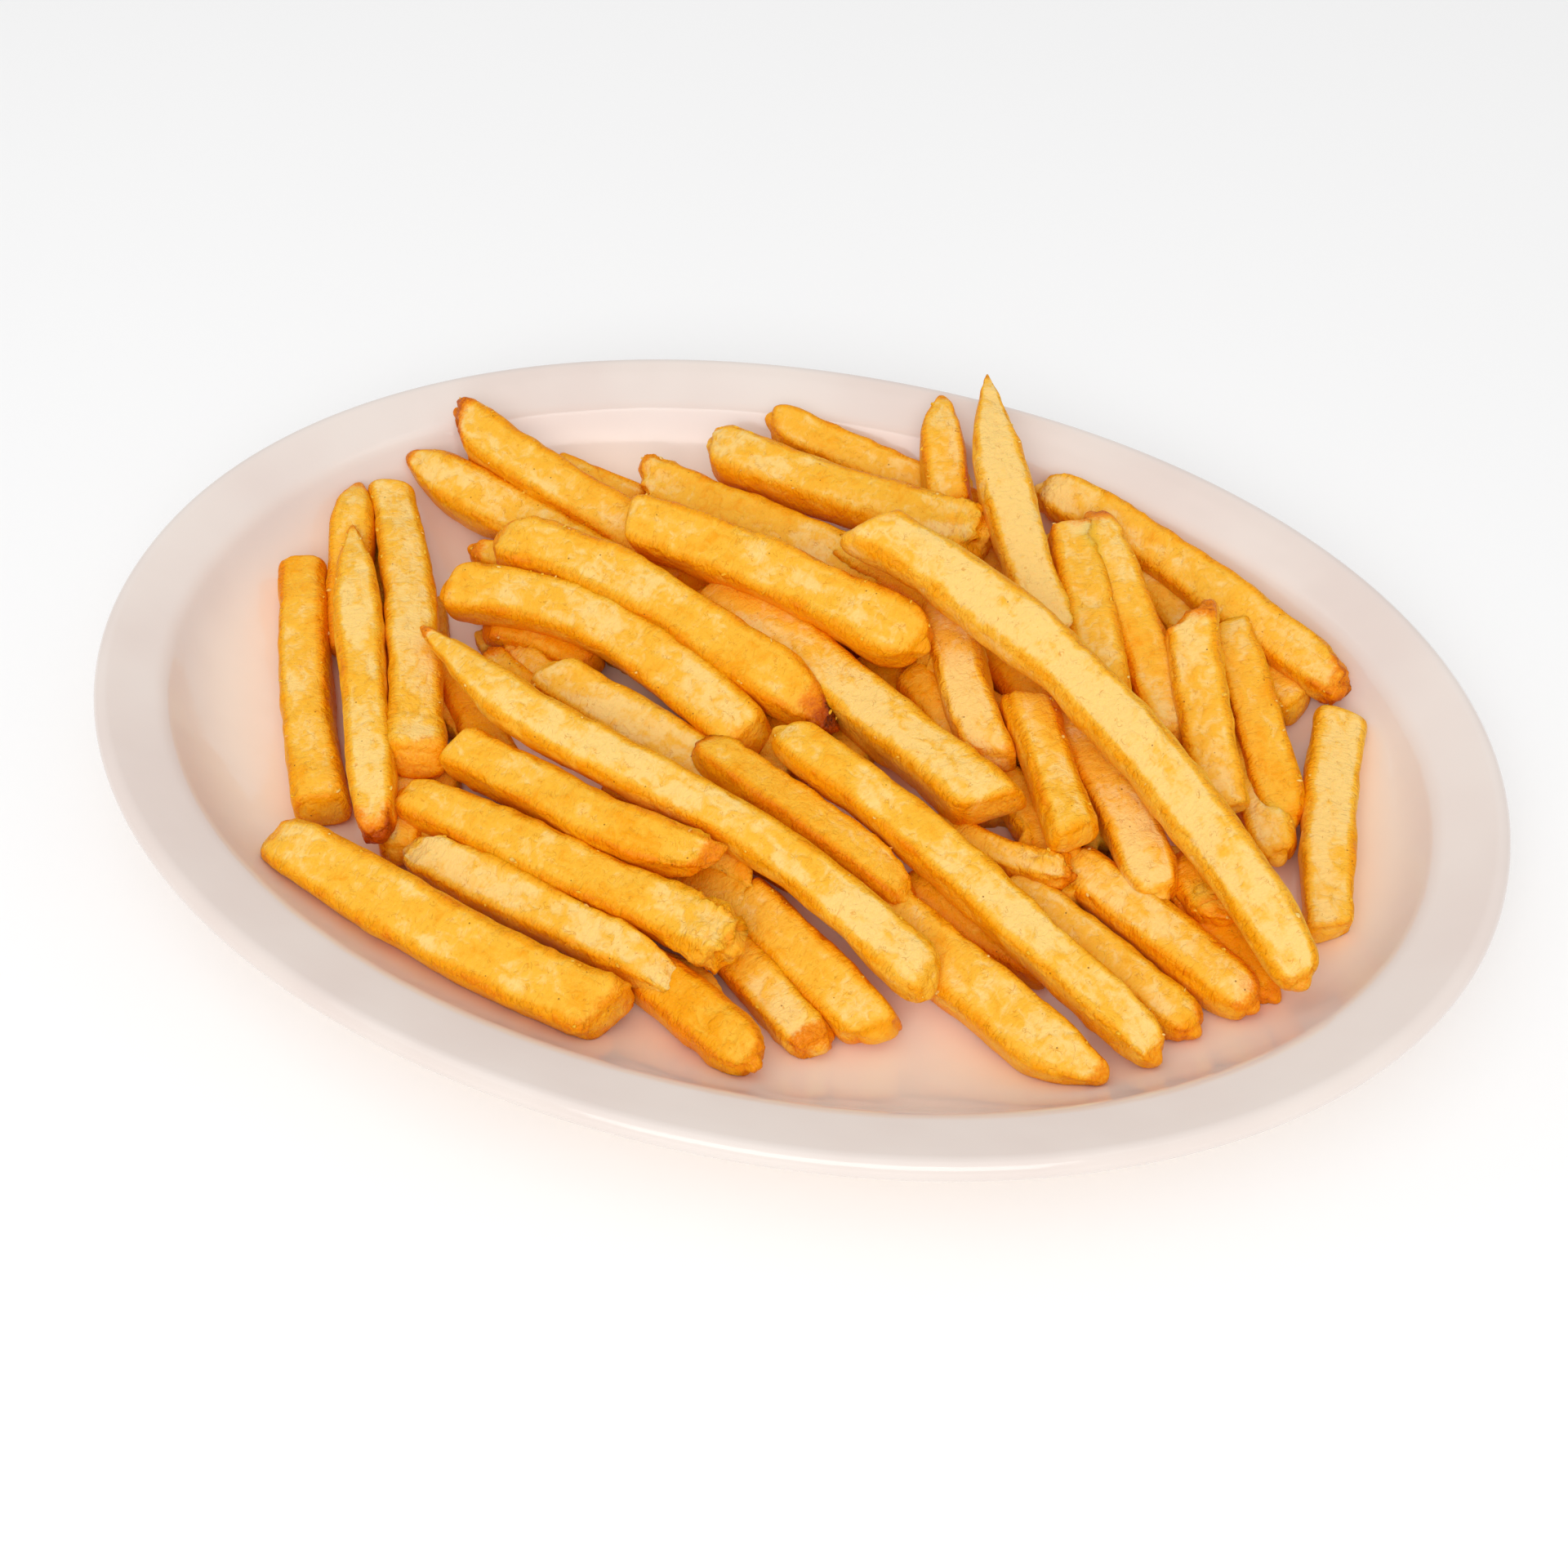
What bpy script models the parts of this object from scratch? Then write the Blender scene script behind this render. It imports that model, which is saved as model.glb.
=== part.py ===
"""A portion of french fries heaped on an oval platter.

Two solids share one frame, with the origin under the middle of the platter's
foot, +X along the platter's length and +Z up:

  platter      a stoneware dish: flat floor, curved well wall, sloping rim, foot ring
  fries_heap   the fries, every one laid where it lies, grown together into one
               solid by the mass of fries underneath them

Numbers are millimetres, and MM turns them into metres.
"""

import math
from collections import namedtuple

import bmesh
import bpy
import numpy as np
from mathutils import Vector

MM = 0.001

# ---- driving dimensions -----------------------------------------------------------

PLATTER_LENGTH = 262
PLATTER_BREADTH = 186
PLATTER_SQUARENESS = 2.06      # exponent of the oval: 2 is a true ellipse
PLATTER_STEPS = 56             # facets around the oval

WALL_THICKNESS = 4.4
FOOT_HEIGHT = 1.6              # the foot ring lifts the underside this far
FOOT_WIDTH = 4.0
WELL_RADIUS = 30.0             # curve between the floor and the well's wall
WELL_SLOPE = 55                # degrees, at the top of the well's wall
SHOULDER_RADIUS = 3.0          # between the well's wall and the rim
RIM_SLOPE = 22                 # degrees
RIM_RUN = 10.5                 # straight part of the rim
UNDER_RIM_RADIUS = 4.0         # of the corner under the rim

CLEARANCE = 0.3                # kept between the fries and the platter

LONG_FRY = 45                  # from this length on a fry gets LONG_SPANS straight spans
LONG_SPANS = 4
SHORT_SPANS = 3
POINT_SIZE = 0.3               # what is left of the section at a pointed end
ROUND_SIZE = 0.7
CUT_SIZE = 0.92
TAPER = {"point": 14, "round": 6, "cut": 3}     # how far from the end the taper starts

MASS_CELL = 6.5                # grid of the mass of fries under the laid ones
MASS_DEPTH = 7.0               # how far that mass stays below the top of the fries
MASS_REACH = 1.5               # a grid point this near a fry counts as covered
BOTTOM_LAYER_HEIGHT = 11.0     # top of the fries that lie on the floor under the rest
BOTTOM_LAYER_LENGTH = 150      # the oval that they fill
BOTTOM_LAYER_BREADTH = 84
BOTTOM_LAYER_TURN = -14        # degrees, of that oval's length from +X

# Each fry runs from its tail to its head, which are the ends of its middle line:
# (x, y, height). bow is how far its middle lies to the left of the straight line
# between them, sway an S-bend on top of that, and arch how far the middle is raised.
Fry = namedtuple("Fry", "tail head thick ends bow sway arch", defaults=(0, 0, 0))

FRIES = [
    # against the left end of the well
    Fry((-104.5, 12.5, 13.5), (-75, -42, 11), 9, "cut cut", bow=-1.5),
    Fry((-103, 33.5, 18), (-87, -3, 11), 8, "round cut"),
    Fry((-64, -27, 10), (-58, -46, 10), 7, "cut cut"),
    Fry((-96, 19.5, 20), (-61, -47.5, 16), 8, "point point", bow=0.5),
    Fry((-96, 36, 15), (-60, -30, 17), 8.5, "cut cut", bow=1.5),
    # along the back of the well
    Fry((-66.5, 52, 16), (-46, 51, 11), 8, "cut cut"),
    Fry((-24, 74.5, 21.5), (22, 68, 13), 8.5, "round cut"),
    Fry((-45, 53, 18), (10, 40.5, 15), 9.5, "round cut"),
    Fry((0, 46, 18), (27, 35, 16), 8, "cut cut"),
    Fry((8.5, 85, 26), (18, 59, 20), 9, "round cut"),
    Fry((-34, 63.5, 21), (27, 51, 23), 10.5, "round cut", bow=-1),
    # against the right end
    Fry((35, 72, 19.5), (99.5, 36, 17.5), 9, "cut round", bow=2.5, sway=-0.5),
    Fry((78, 48, 13), (93, 33, 13), 7, "cut cut"),
    Fry((57, 60, 14), (73, 45, 12), 9, "cut cut"),
    Fry((101, 31.5, 14.5), (104.5, -17, 12), 8, "cut cut", bow=-1.5),
    Fry((79, 31, 13), (94, -2, 11), 8.5, "cut round"),
    Fry((76.5, 45, 20), (94.5, 5, 13), 8, "cut round"),
    Fry((46, 61, 25), (72.5, 14.5, 17), 9, "point cut"),
    Fry((43.5, 57.5, 23), (58, 16, 21), 9, "cut cut"),
    Fry((69.5, 38, 26), (83.5, 1, 17), 8.5, "cut cut", bow=-1),
    Fry((19.5, 88.5, 34), (46.5, 30, 20), 9, "point cut", bow=-3),
    # along the front, right of the middle
    Fry((77, -12, 10), (97, -31, 11), 7, "cut round"),
    Fry((58, -14, 11), (93.5, -35, 12.5), 9, "cut round"),
    Fry((49, -21, 11), (84.5, -42, 11), 8, "cut round"),
    Fry((26, -33, 11), (70.5, -58.5, 13), 10, "cut point"),
    Fry((4, -38, 11), (34.5, -58, 11), 9.5, "cut cut"),
    Fry((1, -45.5, 10), (25.5, -62.5, 10), 7, "cut cut"),
    Fry((-8, -57, 11), (17, -71, 14.5), 9, "cut cut", bow=0.5),
    # the sheaf along the front, left of the middle
    Fry((-15, -35, 10), (9.5, -40.5, 12), 7, "cut cut"),
    Fry((-57, -38.5, 10), (-22, -47, 11), 6, "cut cut"),
    Fry((-78, -51.5, 15.5), (-8, -69.5, 15), 10, "round cut", bow=-2),
    Fry((-54.5, -45.5, 12), (2, -60.5, 17), 8, "round point", bow=-0.5),
    Fry((-60, -36, 14), (7.5, -53, 19), 8.5, "round cut", bow=0.5),
    Fry((-53.5, -25, 17), (-0.5, -39, 22), 9, "cut point", bow=-2, sway=-0.5),
    # short ones that show between the others
    Fry((-63.5, 9.5, 12), (-40, 6, 11), 6, "cut cut", bow=2),
    Fry((-58.5, 8.5, 10), (-35, -8, 10), 6.5, "point cut"),
    Fry((-62, 2.5, 10), (-40, -9, 10), 6, "cut cut"),
    Fry((11, 23, 11), (33, 6, 11), 7, "cut cut"),
    Fry((21, 19, 14), (40, 0, 13), 7.5, "cut cut"),
    Fry((31, 36, 13), (49, 16, 13), 8.5, "cut cut"),
    Fry((42, 2, 11), (59, -17, 12), 7.5, "cut cut"),
    Fry((-14, 9, 11), (9, -4, 10), 8, "cut cut"),
    Fry((-73.5, 28, 13), (-23, 14, 11), 6, "cut cut", bow=2),
    Fry((34, -13, 13), (59, -19.5, 16), 5.5, "cut point", bow=-2),
    Fry((77, -9.5, 14), (84, -20, 14), 6.5, "cut cut"),
    Fry((81.5, -16, 15.5), (85.5, -21.5, 14.5), 4.5, "cut cut"),
    # the layer that crosses over them
    Fry((-95.5, 44.5, 17), (-38, 28, 12), 10, "point cut", bow=1),
    Fry((-87, 54, 23), (-28, 31, 13), 10, "point cut", bow=1, sway=1),
    Fry((-46, -1.5, 16), (-6, -15, 12), 9.5, "cut cut"),
    Fry((51, 19, 17), (75.5, -19.5, 15), 9, "cut round"),
    Fry((44, 13.5, 20), (58.5, -15, 20), 8.5, "cut cut"),
    Fry((23.5, 32.5, 22), (40.5, 0, 17), 9, "cut point", bow=-1),
    Fry((-22, 27, 17), (43.5, -13, 20), 10.5, "point cut", bow=1),
    Fry((-71, 10.5, 18), (-3.5, -7.5, 16), 9.5, "point cut", bow=8, sway=-1, arch=1),
    Fry((-65, 23.5, 21), (10.5, 1, 20), 10, "point point", bow=3, sway=-1.5, arch=1),
    Fry((-12, -11.5, 17), (33, -32.5, 17), 8, "point cut"),
    # the ones on top
    Fry((-40, 33, 25), (23, 15.5, 26), 10.5, "cut round", bow=2),
    Fry((2.5, -8, 22), (80, -50, 15), 8, "round point", bow=1, sway=-0.5, arch=1),
    Fry((-69, -5.5, 23), (41, -49.5, 17), 8, "point cut", bow=1, sway=2.5, arch=2),
    Fry((7, 34.5, 35), (100.5, -32, 19), 10, "cut point", bow=8, sway=-0.5, arch=2),
]


# ---- the platter ------------------------------------------------------------------

class Pen:
    """Draws a profile in the XZ plane with straights and arcs."""

    def __init__(self, x, z, heading=0.0):
        self.x = x
        self.z = z
        self.heading = math.radians(heading)
        self.points = [(x, z, self.heading)]

    def straight(self, length):
        self.x += length * math.cos(self.heading)
        self.z += length * math.sin(self.heading)
        self.points.append((self.x, self.z, self.heading))

    def arc(self, radius, turn, steps):
        """Turns by so many degrees, to the left when turn is positive."""
        step = math.radians(turn) / steps
        chord = 2 * radius * math.sin(abs(step) / 2)
        for _ in range(steps):
            self.heading += step / 2
            self.x += chord * math.cos(self.heading)
            self.z += chord * math.sin(self.heading)
            self.heading += step / 2
            self.points.append((self.x, self.z, self.heading))


def upper_profile():
    """The platter's upper side from the edge of its flat floor to the lip."""
    pen = Pen(0, FOOT_HEIGHT + WALL_THICKNESS)
    pen.arc(WELL_RADIUS, WELL_SLOPE, 6)
    pen.arc(SHOULDER_RADIUS, RIM_SLOPE - WELL_SLOPE, 3)
    pen.straight(RIM_RUN)
    return pen


def platter_profile():
    """The whole section from the middle of the floor, over the lip, to under it."""
    pen = upper_profile()
    pen.arc(WALL_THICKNESS / 2, -180, 6)
    rim_cosine = math.cos(math.radians(RIM_SLOPE))
    well_cosine = math.cos(math.radians(WELL_SLOPE))
    corner_drop = UNDER_RIM_RADIUS * (rim_cosine - well_cosine)
    wall_drop = (WELL_RADIUS + WALL_THICKNESS) * (1 - well_cosine)
    rest_of_drop = pen.z - FOOT_HEIGHT - corner_drop - wall_drop
    pen.straight(rest_of_drop / math.sin(math.radians(RIM_SLOPE)))
    pen.arc(UNDER_RIM_RADIUS, WELL_SLOPE - RIM_SLOPE, 2)
    pen.arc(WELL_RADIUS + WALL_THICKNESS, -WELL_SLOPE, 4)
    shift = PLATTER_BREADTH / 2 - max(x for x, z, heading in pen.points)
    points = [(x + shift, z) for x, z, heading in pen.points]
    foot = points[-1][0]
    points.append((foot - FOOT_HEIGHT / 2, 0))
    points.append((foot - FOOT_HEIGHT / 2 - FOOT_WIDTH, 0))
    points.append((foot - FOOT_HEIGHT - FOOT_WIDTH, FOOT_HEIGHT))
    middle_top = (0, FOOT_HEIGHT + WALL_THICKNESS)
    middle_bottom = (0, FOOT_HEIGHT)
    return [middle_top] + points + [middle_bottom], shift


def clearance_profile(shift):
    """What the fries have to stay out of: the platter's upper side and all below it."""
    outside = PLATTER_BREADTH
    below = -PLATTER_BREADTH / 4
    points = []
    for x, z, heading in upper_profile().points:
        points.append((x + shift - CLEARANCE * math.sin(heading), z + CLEARANCE * math.cos(heading)))
    lip_x, lip_z = points[-1]
    lift = (PLATTER_BREADTH / 2 - lip_x) * math.tan(math.radians(RIM_SLOPE))
    floor = (0, points[0][1])
    rest = [(PLATTER_BREADTH / 2, lip_z + lift), (outside, lip_z + lift), (outside, below), (0, below)]
    return [floor] + points + rest


def stretch_to_oval(mesh, flat_radius):
    """Turns a round dish into an oval one whose rim keeps its width all round.

    The distance in from the edge stays what it is, and only the flat floor inside
    flat_radius is stretched in proportion.
    """
    extra = (PLATTER_LENGTH - PLATTER_BREADTH) / 2
    power = 2 / PLATTER_SQUARENESS
    for vertex in mesh.vertices:
        x = vertex.co.x / MM
        y = vertex.co.y / MM
        radius = math.hypot(x, y)
        if radius < 1e-6:
            continue
        along = radius + extra * min(1, radius / flat_radius)
        cosine = x / radius
        sine = y / radius
        vertex.co.x = math.copysign(abs(cosine) ** power, cosine) * along * MM
        vertex.co.y = math.copysign(abs(sine) ** power, sine) * radius * MM


def turned_oval(name, profile, flat_radius, collection):
    """A profile turned by a Screw modifier, then stretched to the platter's oval."""
    mesh = bpy.data.meshes.new(name + "_profile")
    points = [(x * MM, 0, z * MM) for x, z in profile]
    mesh.from_pydata(points, [(i, i + 1) for i in range(len(points) - 1)], [])
    turned = bpy.data.objects.new(name, mesh)
    collection.objects.link(turned)
    screw = turned.modifiers.new("turn", "SCREW")
    screw.steps = PLATTER_STEPS
    screw.render_steps = PLATTER_STEPS
    screw.use_merge_vertices = True
    screw.merge_threshold = 0.00005
    bake(turned)
    stretch_to_oval(turned.data, flat_radius)
    return turned


def make_platter(collection):
    profile, shift = platter_profile()
    platter = turned_oval("platter", profile, shift, collection)
    platter.data.shade_smooth()
    platter.data.set_sharp_from_angle(angle=math.radians(35))
    return platter, shift


# ---- the fries --------------------------------------------------------------------

def middle_line(fry, share):
    """The point of a fry's middle line at a share of its length, tail 0 to head 1."""
    tail = np.array(fry.tail, float)
    head = np.array(fry.head, float)
    run = head - tail
    left = np.array((-run[1], run[0], 0)) / math.hypot(run[0], run[1])
    hump = 4 * share * (1 - share)
    wave = math.sin(2 * math.pi * share)
    return tail + run * share + left * (fry.bow * hump - fry.sway * wave) + np.array((0, 0, fry.arch * hump))


def section_share(fry, share):
    """How much of its full section a fry still has there: less towards a tapered end."""
    length = math.dist(fry.tail, fry.head)
    left = {"point": POINT_SIZE, "round": ROUND_SIZE, "cut": CUT_SIZE}
    tail_end, head_end = fry.ends.split()
    size = 1.0
    for end, distance in ((tail_end, share * length), (head_end, (1 - share) * length)):
        if distance < TAPER[end]:
            size = min(size, left[end] + (1 - left[end]) * distance / TAPER[end])
    return size


def stations(fry):
    """Shares of the length where a fry gets a section: its ends, its tapers, its bends."""
    length = math.dist(fry.tail, fry.head)
    spans = LONG_SPANS if length >= LONG_FRY else SHORT_SPANS
    tail_end, head_end = fry.ends.split()
    first = TAPER[tail_end] / length
    last = 1 - TAPER[head_end] / length
    inner = np.linspace(first, last, spans - 1)
    return [0.0] + list(inner) + [1.0]


def add_fry(target, fry):
    """Adds one fry to a bmesh: a bar with a square section, tapered and bent."""
    places = stations(fry)
    spans = len(places) - 1
    bar = bmesh.new()
    bmesh.ops.create_cube(bar, size=1.0)
    long_edges = [edge for edge in bar.edges if abs(edge.verts[0].co.x - edge.verts[1].co.x) > 0.5]
    bmesh.ops.subdivide_edges(bar, edges=long_edges, cuts=spans - 1, use_grid_fill=True)
    for vertex in bar.verts:
        share = places[round((vertex.co.x + 0.5) * spans)]
        here = middle_line(fry, share)
        ahead = middle_line(fry, min(1, share + 0.05)) - middle_line(fry, max(0, share - 0.05))
        ahead = Vector(ahead).normalized()
        left = Vector((0, 0, 1)).cross(ahead).normalized()
        up = ahead.cross(left)
        size = fry.thick * section_share(fry, share)
        vertex.co = (Vector(here) + left * vertex.co.y * size + up * vertex.co.z * size) * MM
    mesh = bpy.data.meshes.new("bar")
    bar.to_mesh(mesh)
    bar.free()
    target.from_mesh(mesh)
    bpy.data.meshes.remove(mesh)


def over_bottom_layer(x, y):
    """Whether a point in plan lies over the fries on the floor."""
    turn = math.radians(BOTTOM_LAYER_TURN)
    along = x * math.cos(turn) + y * math.sin(turn)
    across = y * math.cos(turn) - x * math.sin(turn)
    return math.hypot(2 * along / BOTTOM_LAYER_LENGTH, 2 * across / BOTTOM_LAYER_BREADTH) < 1


def mass_height(x, y, line_points):
    """Height of the mass over a point in plan, or None where there is none."""
    distance = np.hypot(line_points[:, 0] - x, line_points[:, 1] - y)
    covering = line_points[distance < line_points[:, 2]]
    heights = list(covering[:, 3] - MASS_DEPTH)
    if over_bottom_layer(x, y):
        heights.append(BOTTOM_LAYER_HEIGHT)
    return max(heights, default=None)


def add_mass(target):
    """Adds the mass of fries under the laid ones: a grid that follows them from below."""
    line_points = []
    for fry in FRIES:
        for share in np.linspace(0, 1, 15):
            x, y, z = middle_line(fry, share)
            top = z + fry.thick / 2 * section_share(fry, share)
            line_points.append((x, y, fry.thick / 2 + MASS_REACH, top))
    line_points = np.array(line_points)
    columns = round(PLATTER_LENGTH / MASS_CELL)
    rows = round(PLATTER_BREADTH / MASS_CELL)
    mass = bmesh.new()
    bmesh.ops.create_grid(mass, x_segments=columns, y_segments=rows, size=0.5)
    bare = []
    for vertex in mass.verts:
        x = vertex.co.x * PLATTER_LENGTH
        y = vertex.co.y * PLATTER_BREADTH
        height = mass_height(x, y, line_points)
        if height is None:
            bare.append(vertex)
        else:
            vertex.co = Vector((x, y, height)) * MM
    bmesh.ops.delete(mass, geom=bare, context="VERTS")
    keep_largest_island(mass)
    skirt = bmesh.ops.extrude_face_region(mass, geom=mass.faces[:])
    for item in skirt["geom"]:
        if isinstance(item, bmesh.types.BMVert):
            item.co.z = -FOOT_HEIGHT * MM
    bmesh.ops.recalc_face_normals(mass, faces=mass.faces[:])
    mesh = bpy.data.meshes.new("mass")
    mass.to_mesh(mesh)
    mass.free()
    target.from_mesh(mesh)
    bpy.data.meshes.remove(mesh)


def make_heap(collection, cutters, shift):
    heap_shape = bmesh.new()
    for fry in FRIES:
        add_fry(heap_shape, fry)
    add_mass(heap_shape)
    mesh = bpy.data.meshes.new("fries_heap")
    heap_shape.to_mesh(mesh)
    heap_shape.free()
    heap = bpy.data.objects.new("fries_heap", mesh)
    collection.objects.link(heap)

    clearance = turned_oval("platter_clearance", clearance_profile(shift), shift, cutters)
    clearance.hide_render = True
    clearance.display_type = "WIRE"
    trim = heap.modifiers.new("rest_on_platter", "BOOLEAN")
    trim.operation = "DIFFERENCE"
    trim.object = clearance
    trim.solver = "EXACT"
    trim.use_self = True
    bake(heap)

    skin = bmesh.new()
    skin.from_mesh(heap.data)
    keep_largest_island(skin)
    bmesh.ops.dissolve_limit(skin, angle_limit=math.radians(0.5), verts=skin.verts[:], edges=skin.edges[:])
    bmesh.ops.triangulate(skin, faces=skin.faces[:])
    skin.to_mesh(heap.data)
    skin.free()
    return heap


# ---- helpers ----------------------------------------------------------------------

def bake(thing):
    """Replaces an object's mesh by what its modifiers make of it."""
    depsgraph = bpy.context.evaluated_depsgraph_get()
    depsgraph.update()
    mesh = bpy.data.meshes.new_from_object(thing.evaluated_get(depsgraph))
    thing.modifiers.clear()
    thing.data = mesh
    mesh.name = thing.name


def keep_largest_island(shape):
    """Deletes all but the island with the most faces, so that closed pockets fill up."""
    unseen = set(shape.faces)
    islands = []
    while unseen:
        start = unseen.pop()
        island = [start]
        for face in island:
            for edge in face.edges:
                for other in edge.link_faces:
                    if other in unseen:
                        unseen.remove(other)
                        island.append(other)
        islands.append(island)
    islands.sort(key=len)
    spare = [face for island in islands[:-1] for face in island]
    bmesh.ops.delete(shape, geom=spare, context="FACES")


def finish(thing, colour, roughness):
    """Gives an object a material of its own."""
    material = bpy.data.materials.new(thing.name)
    material.use_nodes = True
    shader = material.node_tree.nodes["Principled BSDF"]
    shader.inputs["Base Color"].default_value = (*colour, 1.0)
    shader.inputs["Roughness"].default_value = roughness
    shader.inputs["Metallic"].default_value = 0.0
    thing.data.materials.clear()
    thing.data.materials.append(material)


def new_collection(name):
    collection = bpy.data.collections.new(name)
    bpy.context.scene.collection.children.link(collection)
    return collection


def main():
    for thing in list(bpy.data.objects):
        bpy.data.objects.remove(thing)
    portion = new_collection("french_fries_portion")
    cutters = new_collection("cutters")
    platter, shift = make_platter(portion)
    heap = make_heap(portion, cutters, shift)
    finish(platter, (0.80, 0.74, 0.70), 0.15)
    finish(heap, (0.85, 0.48, 0.10), 0.50)


main()
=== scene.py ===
"""Looks of the french fries portion: an oval platter with a heap of loose fries.

The platter is spun out ring by ring from a circle. Every fry starts as a copy of one
of two blanks, a bar cut into small squares, and is then given its own section, ends,
creases, blisters and bend. Lengths in the lists are millimetres; MM makes them metres.
"""

import itertools
import math
from collections import namedtuple

import bpy
import numpy as np
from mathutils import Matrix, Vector
from mathutils.bvhtree import BVHTree


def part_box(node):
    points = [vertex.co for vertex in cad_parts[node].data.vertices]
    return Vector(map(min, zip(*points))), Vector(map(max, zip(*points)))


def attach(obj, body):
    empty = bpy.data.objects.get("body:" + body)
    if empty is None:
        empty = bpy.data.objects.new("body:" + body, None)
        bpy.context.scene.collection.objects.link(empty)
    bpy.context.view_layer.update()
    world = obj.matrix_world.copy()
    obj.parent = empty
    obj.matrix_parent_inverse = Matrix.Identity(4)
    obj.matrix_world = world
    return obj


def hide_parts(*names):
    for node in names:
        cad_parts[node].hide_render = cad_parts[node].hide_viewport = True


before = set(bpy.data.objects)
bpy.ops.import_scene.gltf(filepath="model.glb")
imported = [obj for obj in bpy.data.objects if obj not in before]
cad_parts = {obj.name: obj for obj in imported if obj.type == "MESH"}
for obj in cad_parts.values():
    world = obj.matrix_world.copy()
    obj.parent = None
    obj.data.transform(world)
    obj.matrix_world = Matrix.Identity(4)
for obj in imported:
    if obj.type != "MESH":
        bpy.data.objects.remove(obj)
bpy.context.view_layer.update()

MM = 0.001

# ---- the platter's driving dimensions ---------------------------------------------

PLATTER_LOW, PLATTER_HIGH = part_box("platter")
PLATTER_LENGTH = (PLATTER_HIGH.x - PLATTER_LOW.x) / MM
PLATTER_BREADTH = (PLATTER_HIGH.y - PLATTER_LOW.y) / MM
PLATTER_SQUARENESS = 2.06      # exponent of the oval: 2 is a true ellipse
PLATTER_STEPS = 240
WALL_THICKNESS = 4.4
FOOT_HEIGHT = 1.6
FOOT_WIDTH = 4.0
FOOT_ROUNDING = 0.5
WELL_RADIUS = 30.0
WELL_SLOPE = 55
SHOULDER_RADIUS = 6.0
RIM_SLOPE = 22
RIM_RUN = 8.0
UNDER_RIM_RADIUS = 4.0
FLOOR_TOP = FOOT_HEIGHT + WALL_THICKNESS

# ---- the fries --------------------------------------------------------------------

HEAP_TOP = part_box("fries_heap")[1].z / MM
SIDE_STEPS = 11                # squares across each face of a blank
SHORT_STEPS = 72               # squares along the shorter blank; the longer has twice as many
LONG_FRY = 58                  # fries from this length on use the longer blank
CORNER_CROWDING = 1.2          # how far the squares gather at a fry's arrises
END_CROWDING = 0.5             # and at its ends
SLANT_REACH = 13               # a slanted end is skewed over this length
FULLNESS = 1.05                # rounded arrises take a little off a fry, and this gives it back
FLATNESS = 1.08                # a fry lies on its flat: wider than deep
FRONT_POINT = (64, -211, 271)  # the heap is laid to be seen from here, and its fries are
FRONT_TURN = 0.5               # turned by this share of the angle that faces it
REST_GAP = 0.12                # between the fries and the platter
SIDE_TONE_AND_SHADE = 0.36                # how much deeper a fry's sides and ends are fried than its top; on the sides, partly painted shade
HOLLOW_SHADE = 0.45             # and how much painted shade deepens it, low between its neighbours
HOLLOW_DEPTH = 9               # at this depth
HOLLOW_CELL = 1.5
HOLLOW_EVENING = 24            # how many times the heap's top is evened out to measure that

# How an end closes: reach of the taper, the share of width and depth left at the very
# end, and how full the taper is (2 is round, 1 is straight).
End = namedtuple("End", "reach wide deep fullness")
ENDS = {
    "cut": End(2.4, 0.76, 0.78, 2.3),
    "stub": End(4.5, 0.60, 0.64, 2.3),
    "round": End(8, 0.36, 0.42, 2.4),
    "bullet": End(11, 0.26, 0.32, 1.85),
    "blunt": End(12, 0.46, 0.48, 2.0),
    "point": End(15, 0.33, 0.36, 1.8),
    "chisel": End(13, 0.62, 0.22, 1.6),
    "needle": End(18, 0.16, 0.20, 1.85),
    "taper": End(28, 0.16, 0.20, 1.85),
}

# Each fry runs from its tail to its head, which are the ends of its middle line:
# (x, y, height) in millimetres from the platter's middle.
# bow is how far its middle lies to the left of the straight line between them, sway an
# S-bend on top of that, and arch how far the middle is raised.
# wide and deep stretch its section, roll and twist turn it, in degrees. slant skews
# the ends: a positive one makes the left side reach further. lean moves the tips:
# (to the left, upwards) for tail and head. browned, rough: how much at tail and head.
# tone goes from 0, pale, to 1, deep golden, on the palest side, which sunny turns to the left of
# the top, in degrees; the other sides are deeper, partly painted shade. creases are shares of the
# length.
Fry = namedtuple(
    "Fry",
    "tail head thick ends bow sway arch wide deep roll twist slant lean "
    "browned rough tone creases skin sunny",
    defaults=(0, 0, 0, 1, 1, 0, 0, (0, 0), ((0, 0), (0, 0)), (0, 0), (0, 0), 0.4, (), False, 0),
)

LEFT_END = [
    Fry((-104.5, 12.5, 13.5), (-75, -42, 11), 9, "cut cut", bow=-1.5, wide=1.02, tone=0.55,
        browned=(0.3, 0)),
    Fry((-103, 33.5, 18), (-87, -3, 11), 8, "bullet cut", tone=0.5, browned=(0.35, 0.3)),
    Fry((-64, -27, 10), (-58, -46, 10), 7, "cut stub", tone=0.35, browned=(0, 0.2)),
    Fry((-96, 19.5, 20), (-61, -47.5, 16), 8, "needle blunt", bow=0.5, tone=0.38,
        browned=(0.45, 0.9), rough=(0.1, 0.3), slant=(0, -25)),
    Fry((-96, 36, 15), (-60, -30, 17), 8.5, "cut cut", bow=1.5, tone=0.32, browned=(0.2, 0.2),
        creases=(0.89,), slant=(-12, 0)),
]
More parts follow.
